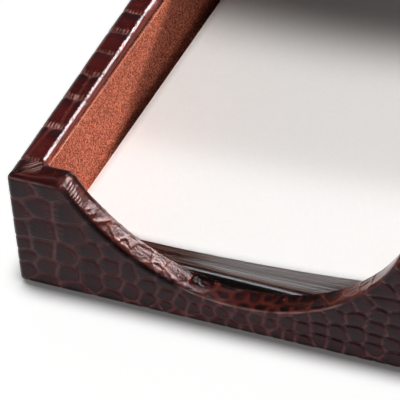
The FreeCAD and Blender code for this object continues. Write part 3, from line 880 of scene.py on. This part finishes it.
def curl(x, rise):
    """How far a sheet has risen at x: level at the left, then along an arc that ends at the given rise."""
    start = sheet_size[0] * (curl_start - 0.5)
    run = sheet_size[0] * (1 - curl_start)
    radius = (run ** 2 + rise ** 2) / (2 * rise)
    way = np.clip(x - start, 0, run)
    return radius - np.sqrt(radius ** 2 - way ** 2)


def laid(x, y, z, turn):
    """Points of a flat sheet turned about the stack's upright axis and shifted to where it lies."""
    across, along = np.cos(turn), np.sin(turn)
    return np.stack([x * across - y * along + sheet_shift, x * along + y * across, z], -1)


order = np.arange(sheet_count)[:, None, None]
share = (order + 0.5) / sheet_count
pitch = (sheets_top - sheets_bottom) / sheet_count
sheaf = np.array(sheaf_shares)[(order * len(sheaf_shares)) // sheet_count] * sheet_shift
bundle = np.floor(order / 3.4 + 0.8 * hashed(np.floor(order / 5), 1, 39))
x = np.linspace(-0.5, 0.5, 29)[None, :, None] * sheet_size[0]
half = sheet_size[1] / 2
inside = half - shade_band_depth
y = np.array([-half, -half, -inside, inside, half, half, inside, -inside])[None, None]
level = np.array([-1, 1, 1, 1, 1, -1, -1, -1])[None, None] * pitch * (0.175 + 0.275 * hashed(bundle, 5, 41))
at_cut_edge = np.array([1, 1, 0, 0, 0.4, 0.4, 0, 0])[None, None]
# Painted shade on the cut edges: grey in random bundles, darkest at the left and low in the stack.
cut_shade = 0.60 * smooth(1.8 * hashed(bundle, 6, 41) - 0.4) + 0.35 * hashed(order, 6, 41) - 0.45
cut_shade = cut_shade + 1.7 * smooth((-4 - x) / 24) + 0.75 * smooth((0.5 - share) / 0.3)
cut_shade = np.where(order < unshaded_sheets, 0.0, np.clip(cut_shade, 0.1, 0.95)) * at_cut_edge
drift = sheaf + 0.8 * hashed(bundle, 4, 41) - 0.2 + 0.16 * (hashed(order, 1, 41) - 0.5)
drift = np.where(order < unshaded_sheets, unshaded_drift, drift)
z = sheets_bottom + (order + 0.5) * pitch + curl(x, curl_rise * np.maximum(share, 0.01)) + level
turn = sheet_turn + math.radians(0.12) * (hashed(bundle, 2, 43) - 0.5) - math.radians(0.3)
spread = laid(x + 0.2 * (hashed(order, 3, 47) - 0.5) + 0 * z, y + drift + 0 * z, z, turn)
memo_stack = strip("memo_stack", spread, paper, {"cut_edge_shade": cut_shade})
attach(memo_stack, "memo_stack")
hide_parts("memo_sheets")

# Top sheet: the one loose sheet that is next to be written on, lying on the stack with a little air under it.
# It is the same notepaper, and follows the stack's curl.
sheet_thick = 0.15
sheet_low = 14.2
rows = np.linspace(-0.5, 0.5, 61) * sheet_size[1]
x = np.linspace(-0.5, 0.5, 45)[:, None] * sheet_size[0]
y = np.concatenate([rows, rows[::-1]])[None]
lift = np.repeat([sheet_thick, 0.0], len(rows))[None]
z = sheet_low + curl(x, curl_rise) + lift + 0 * y
top_sheet = strip("top_sheet_paper", laid(x + 0 * z, y + 0 * z, z, sheet_turn), paper)
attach(top_sheet, "loose_sheet")
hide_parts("top_sheet")

# Floor: a plain pale sweep that the tray stands on. The camera and gloss see it glowing white, and close
# to the tray the glow fades with ambient occlusion into a short, soft painted shadow.
floor_pale = (0.80, 0.80, 0.80, 1)
floor_size = 4.0
shadow_reach = 0.009
floor_glow = 0.92
shadow_glow = 0.07
mesh = bpy.data.meshes.new("studio_floor")
mesh.from_pydata([(-floor_size, -floor_size, 0), (floor_size, -floor_size, 0), (floor_size, floor_size, 0),
                  (-floor_size, floor_size, 0)], [], [(0, 1, 2, 3)])
floor = bpy.data.objects.new("studio_floor", mesh)
bpy.context.scene.collection.objects.link(floor)
sweep, tree, shader = finish("pale_sweep", 1.0, Base_Color=floor_pale, Specular_IOR_Level=0.0)
path = node(tree, "LightPath").outputs
seen = reckon(tree, "MAXIMUM", path["Is Camera Ray"], path["Is Glossy Ray"])
seen = reckon(tree, "MAXIMUM", seen, path["Is Transmission Ray"])
opening = node(tree, "AmbientOcclusion", {"Distance": shadow_reach}, samples=16).outputs["AO"]
opening = span(tree, opening, 0.39, 0.94, 0.0, floor_glow, interpolation_type="SMOOTHSTEP")
opening = reckon(tree, "MAXIMUM", opening, shadow_glow)
shader.inputs["Emission Color"].default_value = (1, 1, 1, 1)
tree.links.new(reckon(tree, "MULTIPLY", seen, opening), shader.inputs["Emission Strength"])
mesh.materials.append(sweep)

# Studio light: a pale surround that dims overhead and to the right, three gridded soft boxes and two strips. The
# boxes hang over the tray and over its front, and stand low at the right for the suede. The strips, behind the
# tray, draw the shine along the scoop's lip and the side rims.
horizon_level = 0.8
zenith_level = 0.08
flagged_level = 0.35
surround_warm = (1, 0.97, 0.945, 1)
world = bpy.data.worlds.new("studio_surround")
bpy.context.scene.world = world
world.use_nodes = True
tree = world.node_tree
toward = node(tree, "TexCoord").outputs["Generated"]
toward = node(tree, "SeparateXYZ", {"Vector": toward}).outputs
level = span(tree, toward["Z"], 0.15, 0.5, horizon_level, zenith_level, interpolation_type="SMOOTHSTEP")
flag = span(tree, toward["X"], 0.0, 0.7, 1.0, flagged_level, interpolation_type="SMOOTHSTEP")
tree.links.new(reckon(tree, "MULTIPLY", level, flag), tree.nodes["Background"].inputs["Strength"])
tree.nodes["Background"].inputs["Color"].default_value = surround_warm


def soft_box(name, toward, target, distance, size, spread, power, colour, lit=None, side=(1, 0, 0)):
    """A rectangular lamp that stands from its target in a given direction, with its width along side, and shines
    in a cone of spread degrees. It lights only the pieces in lit, or everything but the floor."""
    toward = Vector(toward).normalized()
    side = (Vector(side) - toward.dot(Vector(side)) * toward).normalized()
    data = bpy.data.lights.new(name, "AREA")
    data.shape = "RECTANGLE"
    data.size, data.size_y = size
    data.spread = math.radians(spread)
    data.energy = power
    data.color = colour
    lamp = bpy.data.objects.new(name, data)
    bpy.context.scene.collection.objects.link(lamp)
    turned = Matrix((side, toward.cross(side), toward)).transposed().to_4x4()
    lamp.matrix_world = Matrix.Translation(Vector(target) + distance * toward) @ turned
    chosen = bpy.data.collections.new(name + "_chosen")
    for piece in lit or [floor]:
        chosen.objects.link(piece)
    for member in chosen.collection_objects:
        member.light_linking.link_state = "INCLUDE" if lit else "EXCLUDE"
    lamp.light_linking.receiver_collection = chosen
    return lamp


def pass_through(lamp, pieces):
    """Lets a lamp's light through the given pieces, so that they throw no shadow in it."""
    clear = bpy.data.collections.new(lamp.name + "_clear")
    for piece in pieces:
        clear.objects.link(piece)
    for member in clear.collection_objects:
        member.light_linking.link_state = "EXCLUDE"
    lamp.light_linking.blocker_collection = clear


suedes = [left_suede, right_suede, front_suede, back_suede, floor_suede]
soft_box("overhead_soft_box", (0.05, 0.20, 0.98), (0.0, -0.0525, 0.016), distance=0.8, size=(0.22, 0.128),
         spread=2.7, power=0.068, colour=(1.0, 0.975, 0.96))
soft_box("front_soft_box", (0.05, -0.28, 0.96), (0.0, -0.100, 0.016), distance=0.6, size=(0.24, 0.115),
         spread=2.3, power=0.0262, colour=(0.935, 0.965, 1.0))
side_box = soft_box("side_soft_box", (0.80, 0.55, 0.24), (-0.020, -0.060, 0.031), distance=0.8,
                    size=(0.26, 0.045), spread=0.6, power=0.034, colour=(1.0, 1.0, 1.0),
                    lit=suedes + [left_leather])
pass_through(side_box, [memo_stack, top_sheet])
strip_warm = (1.0, 0.95, 0.90)
soft_box("back_strip_box", (0.316, 0.843, 0.436), (-0.03, -0.083, 0.025), distance=1.0, size=(0.62, 0.12),
         spread=180, power=19.5, colour=strip_warm, lit=[front_leather], side=(0.819, 0, -0.573))
soft_box("rim_strip_box", (0.273, 0.676, 0.684), (-0.06, -0.03, 0.036), distance=1.0, size=(0.42, 0.14),
         spread=180, power=26.0, colour=strip_warm, lit=[left_leather, right_leather],
         side=(0.928, 0, -0.371))

# Camera: a long lens above and to the right of the front, at the photograph's angle and tilt. Its place was
# fitted to the tray's straight edges, rounded rim and scoop.
view_turn, view_rise, view_tilt = (math.radians(angle) for angle in (27.308, 40.454, -5.837))
view_place = (0.367921, -0.812037, 0.739310)
view_lens = 389.06
view_sensor = 36
back = Vector((math.sin(view_turn) * math.cos(view_rise), -math.cos(view_turn) * math.cos(view_rise),
               math.sin(view_rise)))
level = Vector((math.cos(view_turn), math.sin(view_turn), 0))
upright = back.cross(level)
sideways = math.cos(view_tilt) * level + math.sin(view_tilt) * upright
camera_data = bpy.data.cameras.new("photo_camera")
camera_data.lens = view_lens
camera_data.sensor_width = view_sensor
camera = bpy.data.objects.new("photo_camera", camera_data)
bpy.context.scene.collection.objects.link(camera)
turned = Matrix((sideways, back.cross(sideways), back)).transposed().to_4x4()
camera.matrix_world = Matrix.Translation(view_place) @ turned
bpy.context.scene.camera = camera
bpy.context.scene.view_settings.view_transform = "Standard"
